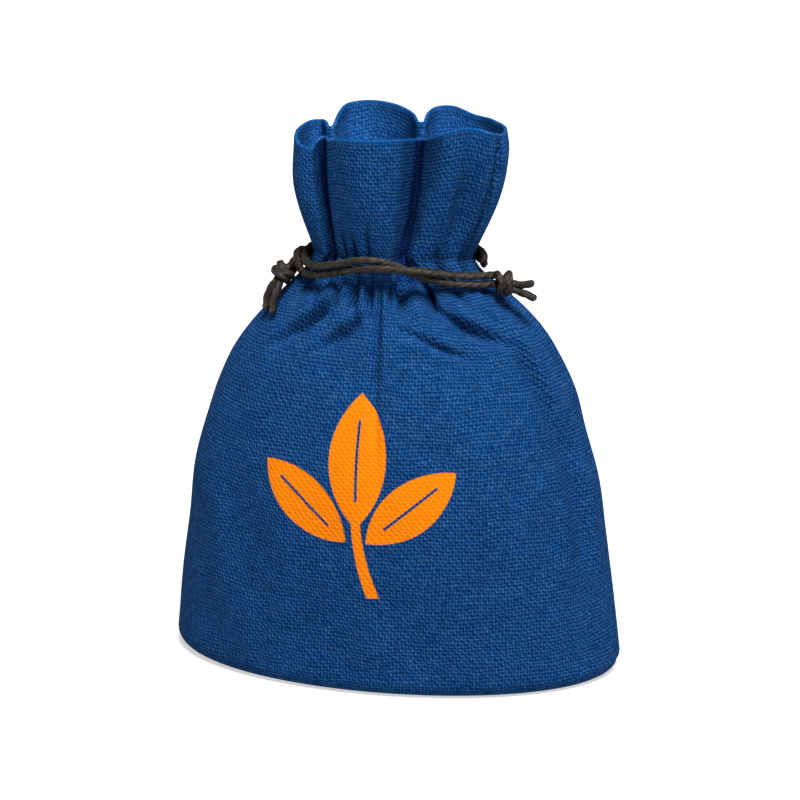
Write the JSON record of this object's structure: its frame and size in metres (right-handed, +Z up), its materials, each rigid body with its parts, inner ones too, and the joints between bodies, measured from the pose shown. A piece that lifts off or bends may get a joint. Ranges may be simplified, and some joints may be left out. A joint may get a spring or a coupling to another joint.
{
  "type": "dice bag",
  "caption": "Drawstring pouch of coarse blue woven cloth, filled out and standing, its gathered neck tied with dark knotted cords.",
  "frame": {"origin": "middle of the base, on the surface the bag stands on", "axes": "+Z up through the neck, -Y out of the front with the print, +X to the right seen from the front"},
  "size_m": [0.1148, 0.0674, 0.1398],
  "materials": {
    "cloth": "coarse plain weave, matte, dyed blue, with an orange print on the front",
    "cord": "round braided cord, dark brown, lightly waxed"
  },
  "bodies": {
    "root": {"front_panel": "cloth", "back_panel": "cloth", "drawstring_left": "cord", "drawstring_right": "cord", "knot_left": "cord", "knot_right": "cord"}
  },
  "joints": []
}
